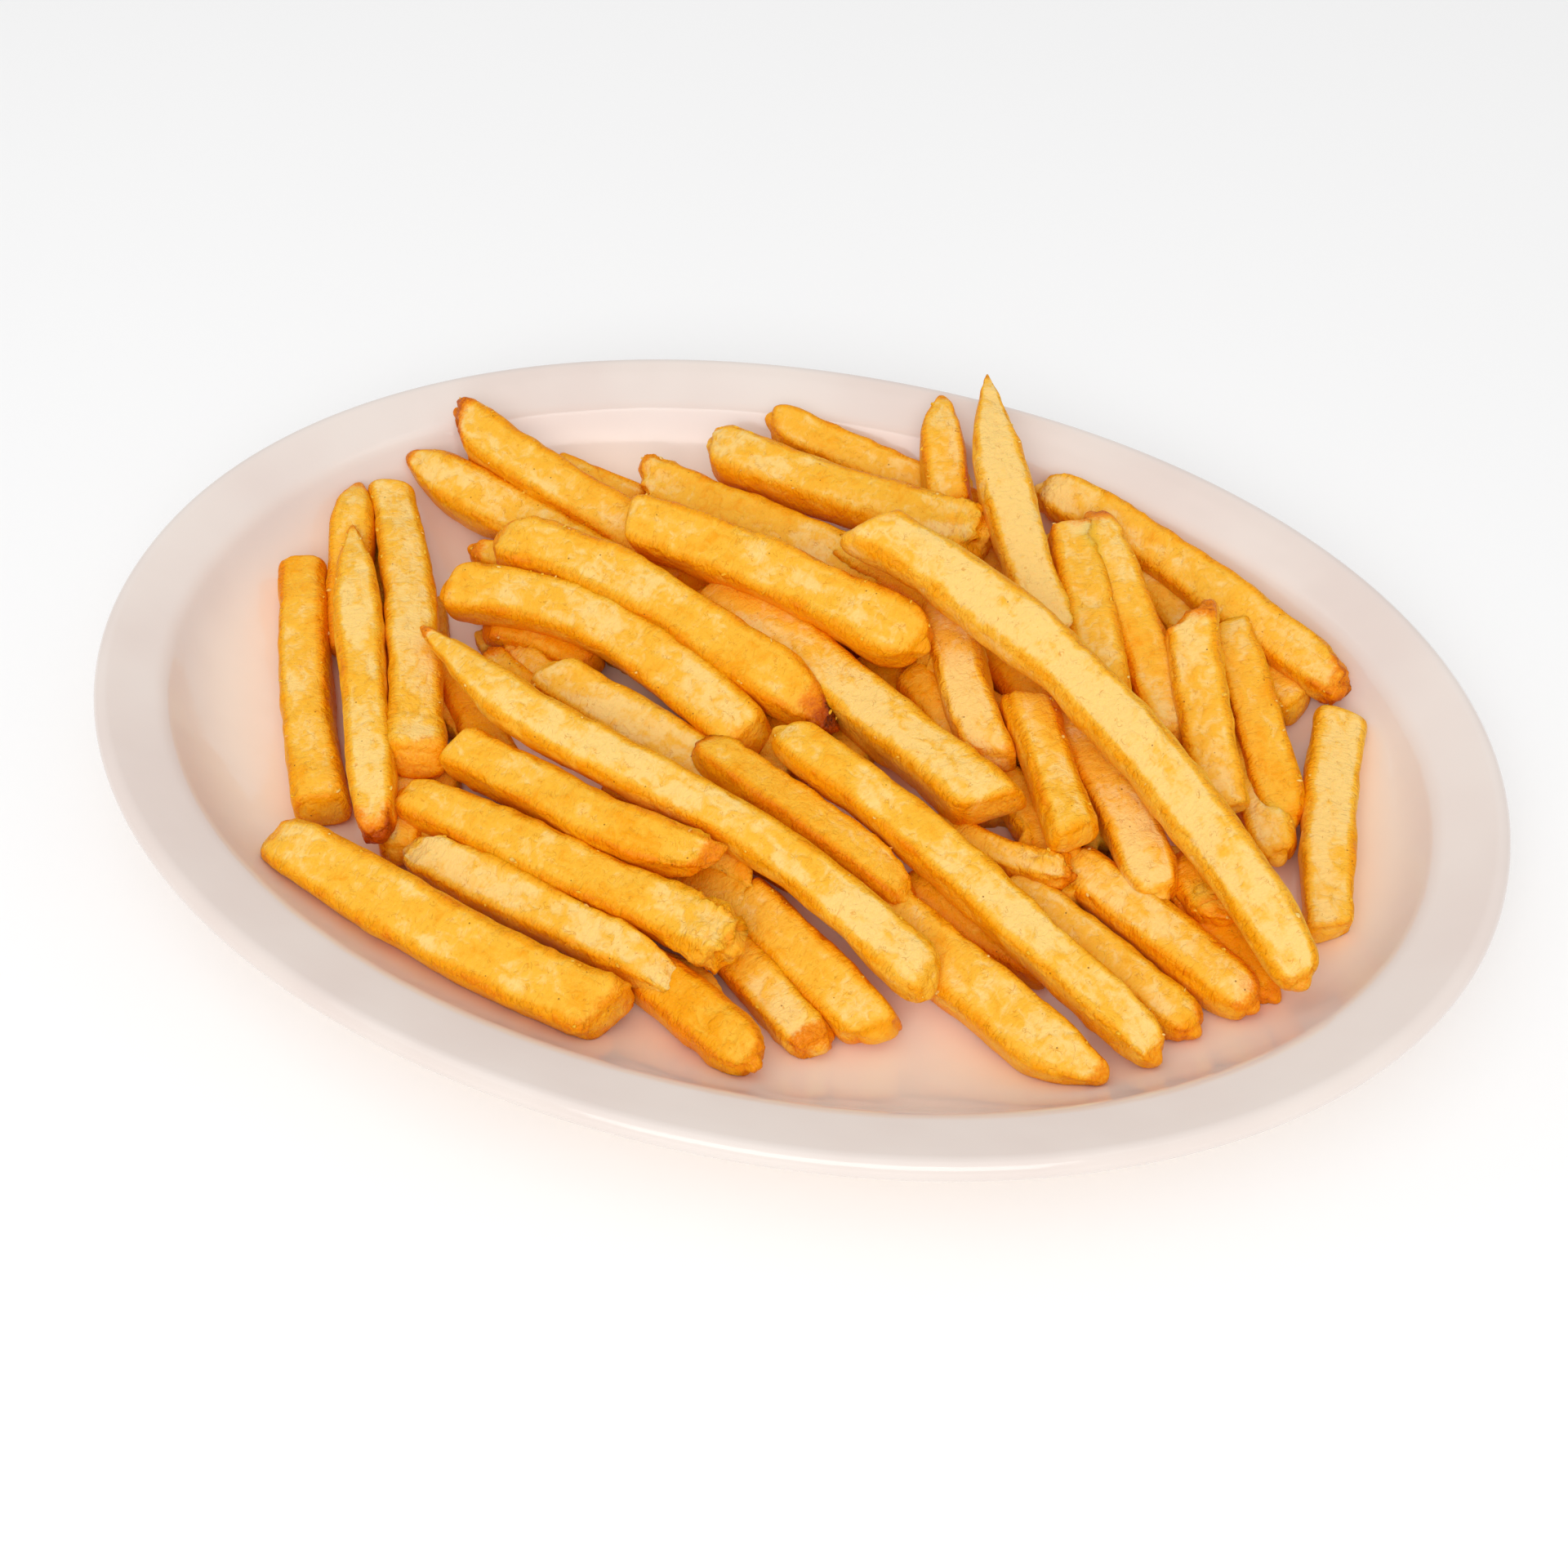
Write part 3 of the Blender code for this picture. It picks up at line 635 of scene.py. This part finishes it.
def lay_fries(name, rows, blanks, under, first_seed):
    """One piece of several fries."""
    things = []
    for number, fry in enumerate(rows):
        long = math.dist(fry.tail, fry.head) > LONG_FRY
        thing = blanks[long].copy()
        thing.data = blanks[long].data.copy()
        bpy.context.scene.collection.objects.link(thing)
        shape_fry(thing, fry, first_seed + 20 * number, under)
        things.append(thing)
    return join(things, name)


# ---- the fries underneath ---------------------------------------------------------

def line_samples(fry, spacing=3.0):
    count = max(3, int(math.dist(fry.tail, fry.head) / spacing))
    return middle_line(fry, np.linspace(0, 1, count))


def under_fries():
    """Fries for the levels under the ones that show: tried at random, kept where there is room."""
    draw = np.random.default_rng(41)
    taken = [fry for rows in LAID.values() for fry in rows]
    places = np.concatenate([line_samples(fry) for fry in taken])
    halves = np.concatenate([np.full(len(line_samples(fry)), fry.thick / 2) for fry in taken])
    half_length, half_breadth, turn = UNDER_OVAL
    turn = math.radians(turn)
    unturned = np.array(((math.cos(turn), -math.sin(turn), 0),
                         (math.sin(turn), math.cos(turn), 0),
                         (0, 0, 1)))
    found = []
    for level in UNDER_LEVELS:
        for _ in range(UNDER_TRIES):
            thick = draw.uniform(*UNDER_THICK)
            length = draw.uniform(*UNDER_LENGTH)
            heading = math.radians(UNDER_HEADING + draw.uniform(-UNDER_STRAY, UNDER_STRAY))
            middle = draw.uniform(-1, 1, 2) * (half_length, half_breadth)
            middle = np.array((middle[0] * math.cos(turn) - middle[1] * math.sin(turn),
                               middle[0] * math.sin(turn) + middle[1] * math.cos(turn)))
            half_run = np.array((math.cos(heading), math.sin(heading))) * length / 2
            height = max(level, FLOOR_TOP + thick / 2 + 0.2)
            fry = Fry((*(middle - half_run), height), (*(middle + half_run), height), thick, "cut cut",
                      bow=draw.uniform(-2, 2), tone=draw.uniform(0.3, 0.6))
            line = line_samples(fry)
            tilted = line @ unturned
            if (np.hypot(tilted[:, 0] / half_length, tilted[:, 1] / half_breadth) > 1).any():
                continue
            away = np.linalg.norm(line[:, None] - places[None], axis=2)
            if (away < (thick / 2 + halves[None]) * UNDER_TOUCH).any():
                continue
            plan = np.linalg.norm(line[:, None, :2] - places[None, :, :2], axis=2)
            above = (plan < halves[None] + UNDER_SHADE) & (places[None, :, 2] > line[:, None, 2])
            if above.any(axis=1).mean() < UNDER_COVERED:
                continue
            found.append(fry)
            places = np.concatenate((places, line))
            halves = np.concatenate((halves, np.full(len(line), thick / 2)))
    return found


def paint_hollow_shade(pieces):
    """Paints shade into the fries' tone wherever they lie low between their neighbours."""
    places = [mesh_points(piece.data) / MM for piece in pieces]
    low = np.concatenate(places)[:, :2].min(axis=0) - HOLLOW_CELL
    high = np.concatenate(places)[:, :2].max(axis=0) + 2 * HOLLOW_CELL
    top = np.full(np.ceil((high - low) / HOLLOW_CELL).astype(int) + 1, FLOOR_TOP)
    for points in places:
        cell = ((points[:, :2] - low) / HOLLOW_CELL).astype(int)
        np.maximum.at(top, (cell[:, 0], cell[:, 1]), points[:, 2])
    for _ in range(HOLLOW_EVENING):
        wide = np.pad(top, 1, mode="edge")
        top = top / 2 + (wide[:-2, 1:-1] + wide[2:, 1:-1] + wide[1:-1, :-2] + wide[1:-1, 2:]) / 8
    for piece, points in zip(pieces, places):
        cell = (points[:, :2] - low) / HOLLOW_CELL - 0.5
        column, row = cell.astype(int).T
        right, up = (cell - cell.astype(int)).T
        around = (top[column, row] * (1 - right) * (1 - up) + top[column + 1, row] * right * (1 - up)
                  + top[column, row + 1] * (1 - right) * up + top[column + 1, row + 1] * right * up)
        values = np.empty(len(points), np.float32)
        tone = piece.data.attributes["tone"].data
        tone.foreach_get("value", values)
        # painted shade: the further a point lies under the evened-out top of the heap, the deeper its
        # tone
        values += HOLLOW_SHADE * smooth(0, HOLLOW_DEPTH, around - points[:, 2])
        tone.foreach_set("value", np.clip(values, 0, 1.2))


# ---- the core ---------------------------------------------------------------------

def core_heights(across, down):
    """Top of the core, in mm, over a grid: it rises only between fries that lie side by side."""
    places = np.column_stack((across.ravel(), down.ravel()))
    first = np.full(len(places), -50.0)
    second = first.copy()
    for fry in (fry for rows in LAID.values() for fry in rows):
        line = line_samples(fry, 1.5)
        away = np.linalg.norm(places[:, None] - line[None, :, :2], axis=2)
        nearest = away.argmin(axis=1)
        gap = away[np.arange(len(places)), nearest] / fry.thick
        claim = line[nearest, 2] - CORE_DROP * fry.thick - 7 * np.maximum(0, gap - 0.45) ** 2
        claim[gap > CORE_REACH] = -50
        second = np.maximum(second, np.minimum(first, claim))
        first = np.maximum(first, claim)
    return second


def make_core(under):
    """Low ridges of potato that close the gaps between the fries from below."""
    low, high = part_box("fries_heap")
    steps = [int((high[axis] - low[axis]) / MM / CORE_SQUARE) for axis in (0, 1)]
    middle = (low + high) / 2
    bpy.ops.mesh.primitive_grid_add(x_subdivisions=steps[0], y_subdivisions=steps[1], size=1)
    core = bpy.context.object
    core.scale = (high.x - low.x, high.y - low.y, 1)
    core.location = (middle.x, middle.y, 0)
    core = start_piece("fries_core")
    bpy.ops.object.mode_set(mode="OBJECT")
    points = mesh_points(core.data) / MM
    floor = under(points) + REST_GAP
    top = core_heights(points[:, 0], points[:, 1])
    top += 0.5 * lumps(points, 3, 91) + 0.3 * lumps(points, 1.5, 92)
    points[:, 2] = np.maximum(top, floor)
    set_points(core.data, points * MM)
    bare = top < floor + 2.6
    for polygon in core.data.polygons:
        polygon.select = bool(bare[list(polygon.vertices)].any())
    bpy.ops.object.mode_set(mode="EDIT")
    bpy.ops.mesh.select_mode(type="FACE")
    bpy.ops.mesh.delete(type="FACE")
    bpy.ops.mesh.select_all(action="SELECT")
    bpy.ops.mesh.region_to_loop()
    bpy.ops.mesh.vertices_smooth(factor=0.6, repeat=4)
    bpy.ops.mesh.select_all(action="SELECT")
    bpy.ops.mesh.extrude_region_move(TRANSFORM_OT_translate={"value": (0, 0, -1)})
    bpy.ops.mesh.select_all(action="SELECT")
    bpy.ops.mesh.normals_make_consistent(inside=False)
    bpy.ops.mesh.faces_shade_smooth()
    bpy.ops.object.mode_set(mode="OBJECT")
    points = mesh_points(core.data) / MM
    sunk = points[:, 2] < 0
    points[sunk, 2] = under(points[sunk]) + REST_GAP
    set_points(core.data, points * MM)
    plain = np.zeros(len(points))
    heading = math.radians(UNDER_HEADING)
    along = points[:, 0] * math.cos(heading) + points[:, 1] * math.sin(heading)
    across = points[:, 1] * math.cos(heading) - points[:, 0] * math.sin(heading)
    write_attribute(core.data, "grain", np.column_stack((along, across, points[:, 2])))
    write_attribute(core.data, "arris", plain)
    write_attribute(core.data, "browned", plain + 0.05)
    write_attribute(core.data, "rough", plain)
    write_attribute(core.data, "tone", plain + CORE_TONE)
    return core


# ---- the crumbs -------------------------------------------------------------------

def make_crumbs(heap):
    """Small bits of crust that stick to the upper sides of the fries."""
    draw = np.random.default_rng(77)
    spots = []
    for piece in heap:
        count = len(piece.data.vertices)
        arris = np.empty(count, np.float32)
        piece.data.attributes["arris"].data.foreach_get("value", arris)
        upwards = mesh_normals(piece.data)[:, 2] > 0.15
        spots.append(mesh_points(piece.data)[upwards & (arris > 0.75)] / MM)
    spots = np.concatenate(spots)
    bpy.ops.mesh.primitive_ico_sphere_add(subdivisions=2, radius=1)
    blank = start_piece("crumb")
    bpy.ops.mesh.select_all(action="SELECT")
    bpy.ops.mesh.faces_shade_smooth()
    bpy.ops.object.mode_set(mode="OBJECT")
    ball = mesh_points(blank.data)
    crumbs = []
    for number in range(CRUMBS):
        thing = blank.copy()
        thing.data = blank.data.copy()
        bpy.context.scene.collection.objects.link(thing)
        radius = draw.uniform(*CRUMB_RADIUS)
        shape = ball * radius * draw.uniform((0.8, 0.5, 0.4), (1.7, 1.0, 0.8))
        shape *= 1 + 0.45 * lumps(ball * 2 + number * 7.3, 1.3, 601)[:, None]
        heading = draw.uniform(0, math.pi)
        across = shape[:, 0] * math.cos(heading) - shape[:, 1] * math.sin(heading)
        along = shape[:, 0] * math.sin(heading) + shape[:, 1] * math.cos(heading)
        shape = np.column_stack((across, along, shape[:, 2]))
        points = shape + spots[draw.integers(len(spots))] + (0, 0, 0.1 * radius)
        points[:, 2] = np.minimum(points[:, 2], HEAP_TOP - 0.03)
        set_points(thing.data, points * MM)
        plain = np.zeros(len(points))
        write_attribute(thing.data, "grain", points)
        write_attribute(thing.data, "arris", plain)
        write_attribute(thing.data, "browned", plain + max(0, draw.uniform(-0.4, 0.3)))
        write_attribute(thing.data, "rough", plain)
        write_attribute(thing.data, "tone", plain + draw.uniform(0.2, 0.8))
        crumbs.append(thing)
    bpy.data.objects.remove(blank)
    return join(crumbs, "fries_crumbs")


# ---- materials --------------------------------------------------------------------

class Value:
    """A socket in a material that takes part in Python sums."""

    def __init__(self, recipe, socket):
        self.recipe = recipe
        self.socket = socket

    def _sum(self, operation, first, second):
        return self.recipe.add("ShaderNodeMath", {"operation": operation}, first, second)

    def __add__(self, other):
        return self._sum("ADD", self, other)

    def __radd__(self, other):
        return self._sum("ADD", other, self)

    def __sub__(self, other):
        return self._sum("SUBTRACT", self, other)

    def __rsub__(self, other):
        return self._sum("SUBTRACT", other, self)

    def __mul__(self, other):
        return self._sum("MULTIPLY", self, other)

    def __rmul__(self, other):
        return self._sum("MULTIPLY", other, self)

    def __truediv__(self, other):
        return self._sum("DIVIDE", self, other)

    def __pow__(self, other):
        return self._sum("POWER", self, other)

    def __abs__(self):
        return self.recipe.add("ShaderNodeMath", {"operation": "ABSOLUTE"}, self)

    def within(self, low, high):
        """0 below low, 1 above high, smooth between."""
        settings = {"interpolation_type": "SMOOTHSTEP", "clamp": True}
        node = self.recipe.node("ShaderNodeMapRange", settings)
        self.recipe.feed(node.inputs["Value"], self)
        node.inputs["From Min"].default_value = low
        node.inputs["From Max"].default_value = high
        return Value(self.recipe, node.outputs["Result"])

    def clamped(self):
        return self.recipe.add("ShaderNodeClamp", {}, self)


class Recipe:
    """A material made of nodes."""

    def __init__(self, name, **constants):
        self.material = bpy.data.materials.new(name)
        self.material.use_nodes = True
        self.tree = self.material.node_tree
        self.shader = self.tree.nodes["Principled BSDF"]
        for label, value in constants.items():
            self.shader.inputs[label.replace("_", " ")].default_value = value

    def node(self, kind, settings):
        node = self.tree.nodes.new(kind)
        for label, value in settings.items():
            setattr(node, label, value)
        return node

    def feed(self, socket, value):
        if isinstance(value, Value):
            self.tree.links.new(value.socket, socket)
        elif value is not None:
            socket.default_value = value

    def add(self, kind, settings, *values, output=0, **named):
        node = self.node(kind, settings)
        for socket, value in zip(node.inputs, values):
            self.feed(socket, value)
        for label, value in named.items():
            self.feed(node.inputs[label.replace("_", " ")], value)
        return Value(self, node.outputs[output])

    def attribute(self, name, output="Fac"):
        return self.add("ShaderNodeAttribute", {"attribute_name": name}, output=output)

    def stretched(self, vector, by):
        return self.add("ShaderNodeVectorMath", {"operation": "MULTIPLY"}, vector, by)

    def noise(self, vector, size, detail=2.0, distortion=0.0):
        return self.add("ShaderNodeTexNoise", {}, Vector=vector, Scale=1 / size, Detail=detail,
                        Distortion=distortion)

    def mixed(self, share, first, second):
        node = self.node("ShaderNodeMix", {"data_type": "RGBA"})
        self.feed(node.inputs["Factor"], share)
        self.feed(node.inputs[6], first)
        self.feed(node.inputs[7], second)
        return Value(self, node.outputs[2])

    def bumped(self, height, distance, under=None):
        return self.add("ShaderNodeBump", {}, Distance=distance, Height=height, Normal=under)

    def use(self, **sockets):
        for label, value in sockets.items():
            self.feed(self.shader.inputs[label.replace("_", " ")], value)
        return self.material


def colour(red, green, blue):
    """A colour given the usual way, 0 to 255, as the shader wants it."""
    def linear(part):
        part /= 255
        return part / 12.92 if part <= 0.04045 else ((part + 0.055) / 1.055) ** 2.4
    return (linear(red), linear(green), linear(blue), 1.0)


PALE = colour(253, 208, 122)
CREAM = colour(250, 185, 52)
GOLD = colour(246, 163, 8)
ORANGE = colour(240, 138, 2)
BROWN = colour(186, 78, 0)
DARK_BROWN = colour(100, 36, 4)
OLIVE = colour(222, 138, 6)
SPECK = colour(126, 66, 8)


def fried_potato():
    """Cooked potato under a thin crust. Lengths are millimetres along the fry's grain."""
    r = Recipe("fried_potato", Subsurface_Weight=0.30, Subsurface_Scale=0.0011,
               Subsurface_Radius=(1.0, 0.7, 0.4), IOR=1.4, Specular_IOR_Level=0.16,
               Coat_Weight=0.06, Coat_Roughness=0.22)
    grain = r.attribute("grain", "Vector")
    arris = r.attribute("arris")
    browned = r.attribute("browned")
    rough = r.attribute("rough")
    tone = r.attribute("tone")
    clouds = r.noise(r.stretched(grain, (0.7, 1, 1)), 7.0, 2)
    mottle = r.noise(r.stretched(grain, (0.8, 1, 0.8)), 2.3, 4, 0.7)
    flakes = r.noise(r.stretched(grain, (1.5, 0.8, 0.8)), 1.1, 2, 0.8)
    fine = r.noise(grain, 0.5, 3)
    curls = r.noise(grain, 2.1, 1, 1.8)
    gaps = r.noise(r.stretched(grain, (-1, 1, 1)), 1.7, 1)
    marks = (1 - abs(curls - 0.5).within(0.0, 0.024)) * gaps.within(0.56, 0.66)

    crust = (tone - 0.09 + (clouds - 0.5) * 1.0 + (mottle - 0.5) * 0.9 + (flakes - 0.5) * 0.35
             + arris.within(0.0, 1.0) * (0.24 + clouds * 0.34))
    surface = r.mixed(crust.within(0.08, 0.44), PALE, CREAM)
    surface = r.mixed(crust.within(0.42, 0.84), surface, GOLD)
    surface = r.mixed(crust.within(0.88, 1.35), surface, ORANGE)
    surface = r.mixed(marks * 0.55, surface, OLIVE)
    scorched = browned + (fine - 0.5) * 0.5 * browned.within(0.0, 0.3)
    surface = r.mixed(scorched.within(0.06, 0.42), surface, ORANGE)
    surface = r.mixed(scorched.within(0.34, 0.80), surface, BROWN)
    surface = r.mixed(scorched.within(0.78, 1.10), surface, DARK_BROWN)

    cells = r.node("ShaderNodeTexVoronoi", {"feature": "F1"})
    r.feed(cells.inputs["Vector"], grain)
    cells.inputs["Scale"].default_value = 1 / 1.9
    spot = 1 - Value(r, cells.outputs["Distance"]).within(0.05, 0.12)
    chosen = r.add("ShaderNodeSeparateColor", {}, Value(r, cells.outputs["Color"])).within(0.85, 0.87)
    surface = r.mixed(spot * chosen * 0.8, surface, SPECK)

    height = (clouds * 0.20 + mottle * 0.40 + flakes * 0.22 + fine * 0.04 - marks * 0.04
              + arris * flakes * 0.3 + rough * flakes * 0.2)
    sheen = 0.42 + (fine - 0.5) * 0.3 - mottle.within(0.5, 0.7) * 0.12
    return r.use(Base_Color=surface, Roughness=sheen, Normal=r.bumped(height, 0.0014))


def platter_glaze():
    """A warm white glaze, with the ring that the platter stands on left bare."""
    r = Recipe("platter_glaze", IOR=1.5, Coat_Roughness=0.05)
    place = r.add("ShaderNodeTexCoord", {}, output="Object")
    height = r.add("ShaderNodeSeparateXYZ", {}, place, output=2)
    cloudy = r.noise(place, 0.035, 2)
    ripple = r.noise(place, 0.016, 2)
    pinholes = r.noise(place, 0.0016, 2)
    bare = 1 - height.within(0.0003, 0.0007)
    glazed = r.mixed(cloudy.within(0.3, 0.7), colour(225, 210, 202), colour(231, 219, 211))
    # painted light: the well is brighter and warmer below the rim, for the glow the fries throw on it
    painted_well_light = 1 - height.within(0.007, 0.019)
    glazed = r.mixed(painted_well_light, glazed, colour(250, 231, 212))
    surface = r.mixed(bare, glazed, colour(214, 205, 194))
    gloss = 0.13 + (pinholes - 0.5) * 0.06 + bare * 0.5
    bump = r.bumped(ripple + pinholes * 0.02, 0.0004)
    return r.use(Base_Color=surface, Roughness=gloss, Coat_Weight=(1 - bare) * 0.3, Normal=bump)


def studio_white():
    r = Recipe("studio_white", Roughness=0.6)
    place = r.add("ShaderNodeTexCoord", {}, output="Object")
    paper = r.mixed(r.noise(place, 0.25, 2), colour(248, 248, 248), colour(251, 251, 251))
    return r.use(Base_Color=paper)


# ---- putting it together ----------------------------------------------------------

def finish_piece(piece, material):
    piece.data.materials.clear()
    piece.data.materials.append(material)
    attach(piece, "root")
    return piece


def make_portion():
    glaze = platter_glaze()
    potato = fried_potato()
    platter = finish_piece(make_platter(), glaze)
    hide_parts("platter")
    under = surface_under(platter)
    blanks = (make_blank("short_blank", False), make_blank("long_blank", True))
    heap = []
    for number, (name, rows) in enumerate(LAID.items()):
        heap.append(lay_fries(name, rows, blanks, under, 1000 * (number + 1)))
    heap.append(lay_fries("fries_underneath", under_fries(), blanks, under, 20000))
    # painted shade, deeper in the heap's hollows
    paint_hollow_shade(heap)
    heap.append(make_crumbs(heap[:-1]))
    heap.append(make_core(under))
    for blank in blanks:
        bpy.data.objects.remove(blank)
    for piece in heap:
        finish_piece(piece, potato)
    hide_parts("fries_heap")


def area_light(name, place, aim, size, power, tint=(1, 1, 1)):
    bpy.ops.object.light_add(type="AREA", location=place)
    lamp = bpy.context.object
    lamp.name = name
    lamp.data.shape = "RECTANGLE"
    lamp.data.size = size[0]
    lamp.data.size_y = size[1]
    lamp.data.energy = power
    lamp.data.color = tint
    lamp.rotation_euler = (Vector(aim) - Vector(place)).to_track_quat("-Z", "Y").to_euler()
    return lamp


def make_studio():
    bpy.ops.mesh.primitive_plane_add(size=3)
    floor = bpy.context.object
    floor.name = "studio_floor"
    floor.data.materials.append(studio_white())
    area_light("overhead_softbox", (-0.1, -0.35, 1.25), (0, 0, 0), (1.4, 1.2), 2.7)
    area_light("front_softbox", (0.15, -0.85, 0.75), (0, 0, 0.01), (0.9, 0.6), 4.8)
    world = bpy.data.worlds.new("soft_room")
    world.use_nodes = True
    world.node_tree.nodes["Background"].inputs["Color"].default_value = (1, 1, 1, 1)
    world.node_tree.nodes["Background"].inputs["Strength"].default_value = 0.72
    bpy.context.scene.world = world
    bpy.context.scene.view_settings.view_transform = "Standard"
    bpy.context.scene.cycles.diffuse_bounces = 8


CAMERA_PLACE = (0.06405, -0.21084, 0.27094)
CAMERA_TARGET = (0.00719, -0.02121, 0.024)
CAMERA_LENS = 41.25


def make_camera():
    bpy.ops.object.camera_add(location=CAMERA_PLACE)
    camera = bpy.context.object
    camera.name = "camera"
    sight = Vector(CAMERA_TARGET) - Vector(CAMERA_PLACE)
    camera.rotation_euler = sight.to_track_quat("-Z", "Y").to_euler()
    camera.data.lens = CAMERA_LENS
    camera.data.sensor_width = 36
    camera.data.clip_start = 0.01
    bpy.context.scene.camera = camera


make_portion()
make_studio()
make_camera()
